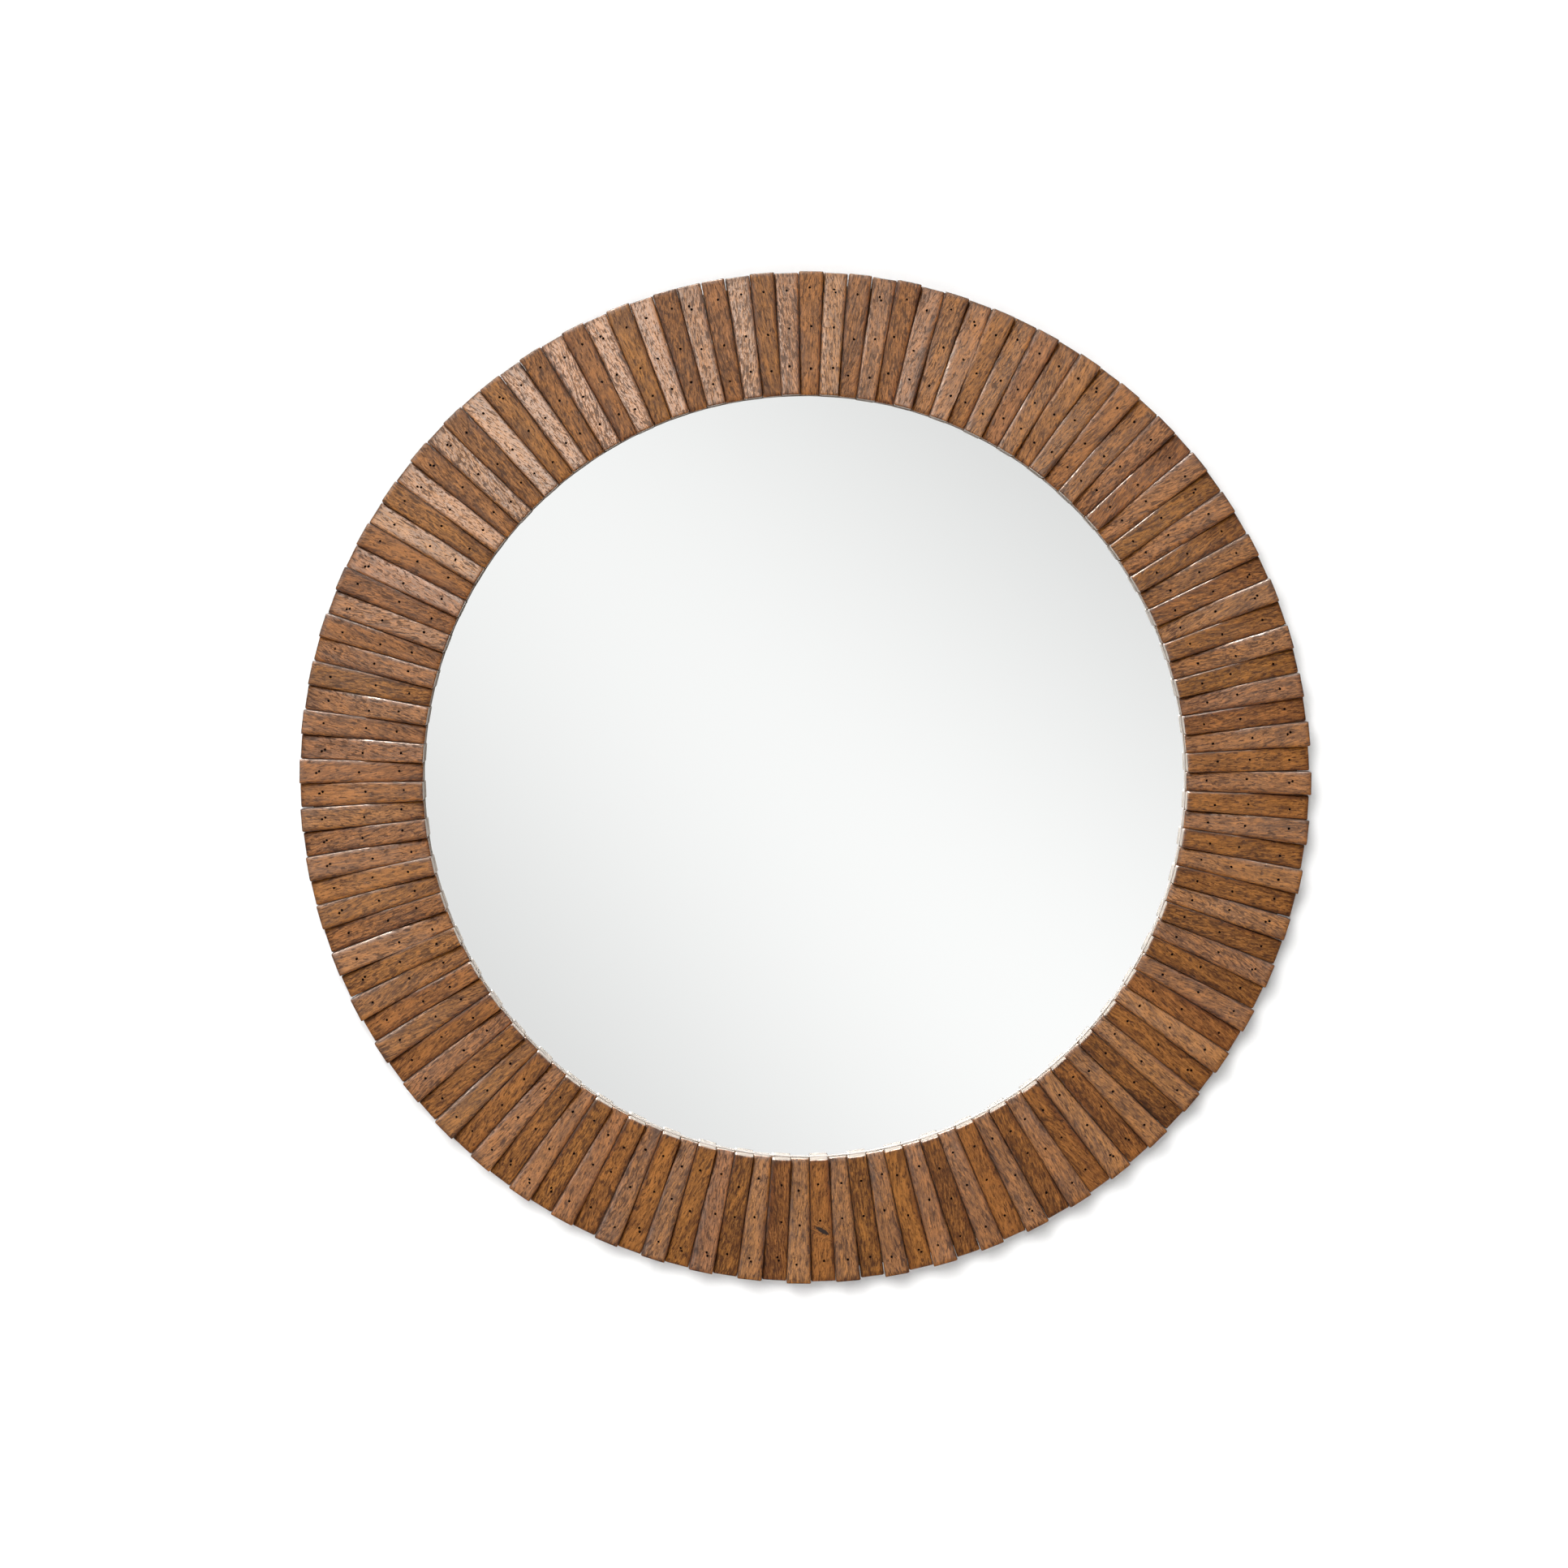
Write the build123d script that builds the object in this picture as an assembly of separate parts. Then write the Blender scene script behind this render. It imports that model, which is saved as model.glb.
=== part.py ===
from build123d import *
import math
import os

os.makedirs("parts", exist_ok=True)

# Frame of the mirror, in millimetres. The origin is on the mirror's axis in the plane of the wall.
# The front faces -Y, the wall is at y = 0 and +Z is up. Clock angles run clockwise from 12 o'clock,
# as someone in front of the mirror sees them.

# Left and right as someone in front of the mirror sees them
sides = {"left": -1, "right": 1}

# Ring of wedge slats
slats_outer_r = 457.0
slat_length = 112.0
slat_pair_count = 4
group_count = 16
first_joint_deg = 2.11
slat_gap = 0.6
slat_thick_end = 18.0
slat_thin_end = 6.0
slat_worn_edge = 1.3

# Carrier ring: how far the slats stand out past it, and the widths of its two steps
slat_overhang = 11.0
lip_width = 7.0
board_step_width = 23.0

# Thicknesses, from the front of the carrier ring to the wall
carrier_thick = 18.0
lip_thick = 5.0
glass_thick = 4.0
spacer_thick = 3.0
board_thick = 3.0
bumper_thick = 6.0
carrier_arris = 1.0
glass_arris = 0.6

# Clearances of what lies in the pockets, and of the screws in their holes
pocket_clearance = 1.0
pilot_clearance = 0.05
screw_hole_clearance = 0.3
pilot_spare_depth = 0.5

# Screws of the backing board
board_screw_count = 6
screw_side_count = 20
board_screw_shank_r = 1.7
board_screw_length = 12.0
board_screw_head_r = 3.4
board_screw_head_height = 1.8

# Hangers: a folded strap, a D-ring that swings in its fold, and two screws
hanger_clock_deg = 40.0
hanger_inset = 34.0
strap_width = 16.0
strap_thick = 1.2
strap_drop = 38.0
strap_tip_r = 7.0
first_screw_drop = 12.0
hanger_screw_pitch = 19.0
hanger_screw_shank_r = 2.1
hanger_screw_length = 16.0
hanger_screw_head_r = 3.9
hanger_screw_head_height = 2.2

# D-ring
wire_r = 1.5
wire_side_count = 12
bow_chord_count = 16
corner_chord_count = 4
fold_clearance = 0.08
leg_half_spacing = 12.75
bar_corner_r = 4.0
leg_height = 7.0
ring_rest_gap = 0.3

# Bumpers
bumper_r = 10.0
upper_bumper_clock_deg = 20.0
lower_bumper_clock_deg = 140.0

# Places worked out from the sizes above. Depths are along Y, from the wall at 0 towards the front.
slats_inner_r = slats_outer_r - slat_length
carrier_outer_r = slats_outer_r - slat_overhang
glass_pocket_r = slats_inner_r + lip_width
board_pocket_r = glass_pocket_r + board_step_width
hanger_axis_r = carrier_outer_r - hanger_inset
carrier_back_y = -bumper_thick
carrier_front_y = carrier_back_y - carrier_thick
glass_front_y = carrier_front_y + lip_thick
glass_back_y = glass_front_y + glass_thick
board_front_y = glass_back_y + spacer_thick
board_back_y = board_front_y + board_thick
slat_count = group_count * slat_pair_count * 2
slat_pitch_deg = 360.0 / slat_count
glass_r = glass_pocket_r - pocket_clearance
board_r = board_pocket_r - pocket_clearance
board_screw_circle_r = (glass_pocket_r + board_pocket_r) / 2
bumper_circle_r = (board_pocket_r + carrier_outer_r) / 2
fold_bore_r = wire_r + fold_clearance
fold_outer_r = fold_bore_r + strap_thick
strap_stack = 2 * strap_thick
ring_reach = leg_height + leg_half_spacing
ring_lean_deg = math.degrees(math.asin((fold_outer_r - wire_r - ring_rest_gap) / ring_reach))
ring_folded_rise = strap_stack + ring_rest_gap + wire_r - fold_outer_r
ring_folded_deg = 180.0 - math.degrees(math.asin(ring_folded_rise / ring_reach))


def at_clock(radius, clock_deg, y=0.0):
    """A point at a radius and a clock angle on the plane at depth y."""
    angle = math.radians(clock_deg)
    return Vector(radius * math.sin(angle), y, radius * math.cos(angle))


def turned(radius_depth_points):
    """A body of revolution about the mirror's axis, from (radius, y) points."""
    profile = make_face(Polyline(*radius_depth_points, close=True))
    return revolve(profile, Axis.Y)


def disc(radius, front_y, back_y):
    """A plain round sheet on the mirror's axis."""
    return turned([(0, front_y), (radius, front_y), (radius, back_y), (0, back_y)])


def rod_to_front(centre, outline, length):
    """A rod of an outline's section that runs from a point towards the front."""
    start = Plane(origin=centre, x_dir=(1, 0, 0), z_dir=(0, -1, 0))
    return extrude(start * outline, length)


def screw_section(radius):
    """The section of a screw or its hole: a regular outline of many flats, near enough to round."""
    return RegularPolygon(radius, screw_side_count)


# Slats

def slat_half_width(radius):
    """Half the width of a slat at a radius: its share of the ring, less half a gap."""
    return radius * math.tan(math.radians(slat_pitch_deg / 2)) - slat_gap / 2


def wedge_slat(outer_height, inner_height):
    """One keystone slat at 12 o'clock, a wedge in side view, with worn edges round its face."""
    outer_half = slat_half_width(slats_outer_r)
    inner_half = slat_half_width(slats_inner_r)
    outline = Polyline(
        (-inner_half, slats_inner_r),
        (inner_half, slats_inner_r),
        (outer_half, slats_outer_r),
        (-outer_half, slats_outer_r),
        close=True,
    )
    # The plane's own y runs up the slat and its normal points to the front.
    front_plane = Plane(origin=(0, carrier_front_y, 0), x_dir=(1, 0, 0), z_dir=(0, -1, 0))
    blank = extrude(front_plane * make_face(outline), max(outer_height, inner_height))
    side = Polyline(
        (carrier_front_y, slats_inner_r),
        (carrier_front_y - inner_height, slats_inner_r),
        (carrier_front_y - outer_height, slats_outer_r),
        (carrier_front_y, slats_outer_r),
        close=True,
    )
    side_profile = extrude(Plane.YZ * make_face(side), 2 * outer_half, both=True)
    wedge = blank & side_profile
    top = wedge.faces().sort_by(Axis.Y)[0]
    return chamfer(top.edges(), slat_worn_edge)


def slat_group(slat, group, place_in_pair):
    """The slats of one kind in one stretch of the ring: every other place."""
    slats = []
    for pair in range(slat_pair_count):
        place = (group * slat_pair_count + pair) * 2 + place_in_pair
        middle_deg = first_joint_deg + (place + 0.5) * slat_pitch_deg
        slats.append(Rot(0, middle_deg, 0) * slat)
    return slats


# Carrier ring, glass and what holds the glass

def board_screw_points():
    """Where the board's screws go, evenly round the step that the board lies on."""
    pitch_deg = 360.0 / board_screw_count
    return [
        at_clock(board_screw_circle_r, (i + 0.5) * pitch_deg, board_back_y)
        for i in range(board_screw_count)
    ]


def hanger_screw_points(side):
    """Where one hanger's two screws enter its strap."""
    axis = hanger_axis_point(side)
    y = carrier_back_y + strap_stack
    drops = [first_screw_drop, first_screw_drop + hanger_screw_pitch]
    return [Vector(axis.X, y, axis.Z - drop) for drop in drops]


def carrier_ring():
    """The ring behind the slats, stepped at the back for the glass and the board."""
    ring = turned([
        (slats_inner_r, carrier_front_y),
        (carrier_outer_r, carrier_front_y),
        (carrier_outer_r, carrier_back_y - carrier_arris),
        (carrier_outer_r - carrier_arris, carrier_back_y),
        (board_pocket_r, carrier_back_y),
        (board_pocket_r, board_front_y),
        (glass_pocket_r, board_front_y),
        (glass_pocket_r, glass_front_y),
        (slats_inner_r, glass_front_y),
    ])
    board_pilot = screw_section(board_screw_shank_r + pilot_clearance)
    board_pilot_depth = board_screw_length + pilot_spare_depth
    for point in board_screw_points():
        ring -= rod_to_front(point, board_pilot, board_pilot_depth)
    hanger_pilot = screw_section(hanger_screw_shank_r + pilot_clearance)
    hanger_pilot_depth = hanger_screw_length + pilot_spare_depth
    for side in sides.values():
        for point in hanger_screw_points(side):
            ring -= rod_to_front(point, hanger_pilot, hanger_pilot_depth)
    return ring


def mirror_glass():
    """The silvered glass, with its front arris ground off."""
    return turned([
        (0, glass_front_y),
        (glass_r - glass_arris, glass_front_y),
        (glass_r, glass_front_y + glass_arris),
        (glass_r, glass_back_y),
        (0, glass_back_y),
    ])


def spacer_sheet():
    """The sheet that fills the pocket between the glass and the board."""
    return disc(glass_r, glass_back_y, board_front_y)


def backing_board():
    """The board that closes the back, drilled for its screws."""
    board = disc(board_r, board_front_y, board_back_y)
    hole = screw_section(board_screw_shank_r + screw_hole_clearance)
    for point in board_screw_points():
        board -= rod_to_front(point, hole, board_thick)
    return board


def pan_head_screw(seat_point, shank_r, shank_length, head_r, head_height):
    """A pan-head screw whose head sits on the seat point and whose shank runs to the front."""
    head_top = seat_point + Vector(0, head_height, 0)
    head = rod_to_front(head_top, screw_section(head_r), head_height)
    return head + rod_to_front(seat_point, screw_section(shank_r), shank_length)


def board_screws():
    """The screws round the board."""
    return [
        pan_head_screw(
            point,
            board_screw_shank_r,
            board_screw_length,
            board_screw_head_r,
            board_screw_head_height,
        )
        for point in board_screw_points()
    ]


# Hangers

def hanger_axis_point(side):
    """The middle of a D-ring's bar. Side is -1 at the left and 1 at the right."""
    on_circle = at_clock(hanger_axis_r, hanger_clock_deg)
    return Vector(side * on_circle.X, carrier_back_y + fold_outer_r, on_circle.Z)


def hanger_strap(side):
    """A steel strip folded round the bar, its two layers screwed flat to the carrier ring."""
    # Profile in the YZ plane, from the bar's axis; the strip's two layers lie in strap_stack.
    fold = Circle(fold_outer_r)
    layers = Pos(-fold_outer_r + strap_stack / 2, -strap_drop / 2) * Rectangle(strap_stack, strap_drop)
    profile = fold + layers - Circle(fold_bore_r)
    strap = extrude(Plane.YZ * profile, strap_width / 2, both=True)
    lower_corners = strap.edges().filter_by(Axis.Y).sort_by(Axis.Z)[:2]
    strap = fillet(lower_corners, strap_tip_r)
    strap = Pos(hanger_axis_point(side)) * strap
    hole = Circle(hanger_screw_shank_r + screw_hole_clearance)
    for point in hanger_screw_points(side):
        strap -= rod_to_front(point, hole, strap_stack)
    return strap


def arc_points(centre_x, centre_z, radius, start_deg, end_deg, chord_count):
    """Points along an arc in the XZ plane, at even angles from +X towards +Z."""
    step = (end_deg - start_deg) / chord_count
    angles = [math.radians(start_deg + i * step) for i in range(chord_count + 1)]
    return [(centre_x + radius * math.cos(a), 0, centre_z + radius * math.sin(a)) for a in angles]


def d_ring(side):
    """A bent wire D: a straight bar, two legs and a round bow, leaning on the carrier ring."""
    corner_x = leg_half_spacing - bar_corner_r
    right_corner = arc_points(corner_x, bar_corner_r, bar_corner_r, -90, 0, corner_chord_count)
    bow = arc_points(0, leg_height, leg_half_spacing, 0, 180, bow_chord_count)
    left_corner = arc_points(-corner_x, bar_corner_r, bar_corner_r, 180, 270, corner_chord_count)
    outline = Polyline((0, 0, 0), *right_corner, *bow, *left_corner, close=True)
    wire_section = Plane.YZ * RegularPolygon(wire_r, wire_side_count)
    ring = sweep(wire_section, path=outline, transition=Transition.RIGHT)
    return Pos(hanger_axis_point(side)) * Rot(ring_lean_deg, 0, 0) * ring


def hanger_screws():
    """The two screws of each hanger."""
    return [
        pan_head_screw(
            point,
            hanger_screw_shank_r,
            hanger_screw_length,
            hanger_screw_head_r,
            hanger_screw_head_height,
        )
        for side in sides.values()
        for point in hanger_screw_points(side)
    ]


# Bumpers

def bumper(clock_deg):
    """A round rubber bumper, stuck to the carrier ring, whose other face rests on the wall."""
    return rod_to_front(at_clock(bumper_circle_r, clock_deg), Circle(bumper_r), bumper_thick)


def save(name, shapes):
    """Write one node's solids to its STEP file."""
    solids = [solid for shape in shapes for solid in shape.solids()]
    node = solids[0] if len(solids) == 1 else Compound(children=solids)
    export_step(node, f"parts/{name}.step")


outer_high_slat = wedge_slat(slat_thick_end, slat_thin_end)
inner_high_slat = wedge_slat(slat_thin_end, slat_thick_end)
for group in range(group_count):
    save(f"inner_high_slats_{group + 1:02d}", slat_group(inner_high_slat, group, 0))
    save(f"outer_high_slats_{group + 1:02d}", slat_group(outer_high_slat, group, 1))

save("carrier_ring", [carrier_ring()])
save("mirror_glass", [mirror_glass()])
save("spacer_sheet", [spacer_sheet()])
save("backing_board", [backing_board()])
save("board_screws", board_screws())

save("hanger_screws", hanger_screws())

for side_name, side in sides.items():
    save(f"{side_name}_hanger_strap", [hanger_strap(side)])
    save(f"{side_name}_d_ring", [d_ring(side)])
    save(f"upper_{side_name}_bumper", [bumper(side * upper_bumper_clock_deg)])
    save(f"lower_{side_name}_bumper", [bumper(side * lower_bumper_clock_deg)])

print("D-ring lean at rest", round(ring_lean_deg, 3), "degrees")
print("D-ring travel to the strap", round(ring_lean_deg + ring_folded_deg, 3), "degrees")
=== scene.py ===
import math

import bmesh
import bpy
from mathutils import Euler, Matrix, Vector


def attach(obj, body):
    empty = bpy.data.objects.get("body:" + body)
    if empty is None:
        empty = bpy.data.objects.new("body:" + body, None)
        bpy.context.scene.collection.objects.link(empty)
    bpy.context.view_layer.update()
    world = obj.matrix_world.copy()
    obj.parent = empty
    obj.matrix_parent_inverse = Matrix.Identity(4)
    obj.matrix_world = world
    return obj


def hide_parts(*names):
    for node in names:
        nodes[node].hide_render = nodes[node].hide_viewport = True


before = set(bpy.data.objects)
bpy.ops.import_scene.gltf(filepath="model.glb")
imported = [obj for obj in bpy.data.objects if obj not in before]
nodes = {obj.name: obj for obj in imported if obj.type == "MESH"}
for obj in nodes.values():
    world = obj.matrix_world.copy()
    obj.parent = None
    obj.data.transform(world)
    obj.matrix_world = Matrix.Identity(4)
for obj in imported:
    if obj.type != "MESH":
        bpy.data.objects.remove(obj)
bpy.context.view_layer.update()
scene = bpy.context.scene

mm = 0.001

# Sizes of the object, the same as in the part's source
slats_outer_r = 457 * mm
slats_inner_r = 345 * mm
slat_length = slats_outer_r - slats_inner_r
slats_per_group = 4
group_count = 16
slat_pitch = math.radians(360 / (2 * group_count * slats_per_group))
first_joint = math.radians(2.11)
slat_thick_end = 18 * mm
slat_thin_end = 6 * mm
carrier_front_y = -24 * mm
carrier_outer_r = 446 * mm
glass_front_y = -19 * mm
glass_back_y = -15 * mm
board_back_y = -9 * mm
board_screw_circle_r = 363.5 * mm
board_screw_count = 6
board_screw_first_clock = math.radians(30)
board_screw_head_r = 3.4 * mm
board_screw_head_height = 1.8 * mm
board_screw_shank_r = 1.7 * mm
board_screw_length = 12 * mm
hanger_circle_r = 412 * mm
hanger_clock = math.radians(40)
hanger_axis_y = -3.22 * mm
strap_top_y = -3.6 * mm
hanger_screw_drops = [12 * mm, 31 * mm]
hanger_screw_head_r = 3.9 * mm
hanger_screw_head_height = 2.2 * mm
hanger_screw_shank_r = 2.1 * mm
hanger_screw_length = 16 * mm
wire_r = 1.5 * mm
leg_half_spacing = 12.75 * mm
bar_corner_r = 4 * mm
leg_height = 7 * mm
ring_lean = math.radians(2.844)
bumper_circle_r = 410.5 * mm
bumper_clocks = {"upper_left": -20, "upper_right": 20, "lower_left": -140, "lower_right": 140}
bumper_r = 10 * mm
bumper_thick = 6 * mm

# Sizes of what only the visual model shows
joint_gap = 0.15 * mm
arris_r = 1.4 * mm
nail_pit_r = 1.25 * mm
nail_pit_depth = 1.8 * mm
nail_pit_margin = 0.3 * mm
nail_pit_sides = 9
nail_pit_overshoot = 0.4 * mm
smooth_below = math.radians(38)
knot_slat = 62
knot_r = 411 * mm
knot_turn = math.radians(52)
screen_pitch = 1.5 * mm
head_chamfer = 0.15 * mm
thread_start = 0.4 * mm
thread_pitch = 1.2 * mm
thread_short_of_end = 3 * mm
screw_point = 2.4 * mm
bumper_edge_r = 0.9 * mm
bumper_dimple = 0.7 * mm

# Each pattern's nails, by their share of the slat's length from its outer end and their offset sideways
nail_patterns = [
    [(0.16, 0.0), (0.50, 0.8 * mm), (0.80, -0.5 * mm)],
    [(0.15, -1.4 * mm), (0.175, 0.2 * mm), (0.49, -0.6 * mm), (0.81, 0.6 * mm)],
    [(0.17, 1.0 * mm), (0.52, -0.9 * mm), (0.78, 0.4 * mm)],
]

# How far the slats differ from one another by hand work and wear. The grain's slant is in radians, and
# its reach, in metres, sets how far apart two slats may lie in the same pattern of grain
sway_range = 9 * mm
drift_range = 22 * mm
arris_wear = 0.5 * mm
widest_gap = 0.7 * mm
length_range = 0.9 * mm
inner_range = 0.5 * mm
sink_range = 0.6 * mm
lean_range = 0.3 * mm
swell_range = 0.5 * mm
grain_slant = 0.2
grain_reach = 3
wear_seed = 5


# Small tools for node trees

def socket(sockets, name):
    """The socket with this name or number that the node's mode uses."""
    if isinstance(name, int):
        return sockets[name]
    return next(s for s in sockets if s.name == name and s.enabled)


def step(tree, kind, inputs=None, out=0, **settings):
    """One more node of a tree, with its inputs set or linked. Gives one of its outputs."""
    made = tree.nodes.new(kind)
    for name, value in settings.items():
        setattr(made, name, value)
    for name, value in (inputs or {}).items():
        end = socket(made.inputs, name)
        if isinstance(value, bpy.types.NodeSocket):
            tree.links.new(value, end)
        else:
            end.default_value = value
    return socket(made.outputs, out) if made.outputs else made


def calc(tree, operation, a, b=0.0, c=0.0, clamp=False):
    """One sum on numbers, the same node in shader and geometry trees."""
    return step(tree, "ShaderNodeMath", {0: a, 1: b, 2: c}, operation=operation, use_clamp=clamp)


def vector_calc(tree, operation, a, b):
    """One sum on vectors."""
    return step(tree, "ShaderNodeVectorMath", {0: a, 1: b}, operation=operation)


def between(tree, value, low, high, to_low=0.0, to_high=1.0):
    """The value's place between low and high, eased, and turned into the new range."""
    names = {"Value": value, "From Min": low, "From Max": high, "To Min": to_low, "To Max": to_high}
    return step(tree, "ShaderNodeMapRange", names, interpolation_type="SMOOTHSTEP")


def noise(tree, vector, scale, detail=2.0, roughness=0.5, distortion=0.0):
    """Smooth random values over a vector in metres, with the scale in waves a metre."""
    names = {"Vector": vector, "Scale": scale, "Detail": detail, "Roughness": roughness,
             "Distortion": distortion}
    return step(tree, "ShaderNodeTexNoise", names)


def mix(tree, share, a, b, blend_type="MIX"):
    """One colour on another."""
    return step(tree, "ShaderNodeMix", {0: share, 6: a, 7: b}, out=2, data_type="RGBA",
                blend_type=blend_type)


def rgb(red, green, blue):
    """A linear colour with its alpha."""
    return (red, green, blue, 1.0)


def new_material(name):
    """An empty material and its tree."""
    material = bpy.data.materials.new(name)
    material.use_nodes = True
    material.node_tree.nodes.clear()
    return material, material.node_tree


def finish_surface(tree, inputs):
    """The material's one shader, joined to its output."""
    shader = step(tree, "ShaderNodeBsdfPrincipled", inputs)
    step(tree, "ShaderNodeOutputMaterial", {"Surface": shader})


def bump(tree, height, distance, strength=1.0):
    """A normal from a height, with the real depth of the relief."""
    return step(tree, "ShaderNodeBump", {"Height": height, "Distance": distance, "Strength": strength})


def attribute(tree, name, out):
    """A value that the mesh carries."""
    return step(tree, "ShaderNodeAttribute", out=out, attribute_name=name)


def object_place(tree):
    """The place on the object, in metres."""
    return step(tree, "ShaderNodeTexCoord", out="Object")


def split(tree, vector):
    """The three parts of a vector."""
    first = step(tree, "ShaderNodeSeparateXYZ", {0: vector})
    return first.node.outputs[0], first.node.outputs[1], first.node.outputs[2]


def stretched(tree, vector, x, y, z):
    """A vector with each part scaled."""
    return vector_calc(tree, "MULTIPLY", vector, (x, y, z))


def turned_about_y(tree, vector, angle):
    """A vector turned about the mirror's axis."""
    return step(tree, "ShaderNodeVectorRotate", {"Vector": vector, "Axis": (0, 1, 0), "Angle": angle},
                rotation_type="AXIS_ANGLE")


# Materials

def slat_half_width_mm(tree, along):
    """Half a slat's width in millimetres, from its place along the slat."""
    inner = slat_half_width(slats_inner_r) / mm
    outer = slat_half_width(slats_outer_r) / mm
    return calc(tree, "MULTIPLY_ADD", along, outer - inner, inner)


def edge_gap_mm(tree, across, along):
    """How far a point of the slat's face is from the nearest edge, in millimetres."""
    half = slat_half_width_mm(tree, along)
    to_side = calc(tree, "MULTIPLY", calc(tree, "SUBTRACT", 1.0, calc(tree, "ABSOLUTE", across)), half)
    length = slat_length / mm
    to_inner = calc(tree, "MULTIPLY", along, length)
    to_outer = calc(tree, "MULTIPLY", calc(tree, "SUBTRACT", 1.0, along), length)
    to_end = calc(tree, "MINIMUM", to_inner, to_outer)
    return calc(tree, "MINIMUM", to_side, to_end)


def knot_marks(tree, across, along, number):
    """How dark the one knot is at a point, and how far it pushes the grain round it aside."""
    knot_along = (knot_r - slats_inner_r) / slat_length
    x = calc(tree, "MULTIPLY", across, slat_half_width(knot_r) / mm)
    z = calc(tree, "MULTIPLY", calc(tree, "SUBTRACT", along, knot_along), slat_length / mm)
    place = step(tree, "ShaderNodeCombineXYZ", {0: x, 2: z})
    turned = turned_about_y(tree, place, knot_turn)
    ragged = noise(tree, place, 0.45, 3.0, 0.6)
    radius = step(tree, "ShaderNodeVectorMath", {0: stretched(tree, turned, 0.42, 1.0, 0.13)},
                  out="Value", operation="LENGTH")
    radius = calc(tree, "MULTIPLY_ADD", ragged, 0.9, calc(tree, "SUBTRACT", radius, 0.45))
    on_slat = calc(tree, "COMPARE", number, float(knot_slat), 0.1)
    knot = calc(tree, "MULTIPLY", between(tree, radius, 0.75, 1.05, 1.0, 0.0), on_slat)
    push = calc(tree, "MULTIPLY", between(tree, radius, 0.6, 3.2, 1.0, 0.0), on_slat)
    push_x = calc(tree, "MULTIPLY", push, 9 * mm)
    push_y = calc(tree, "MULTIPLY", push, 5 * mm)
    swirl = step(tree, "ShaderNodeCombineXYZ", {0: push_x, 1: push_y})
    return knot, swirl


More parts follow.
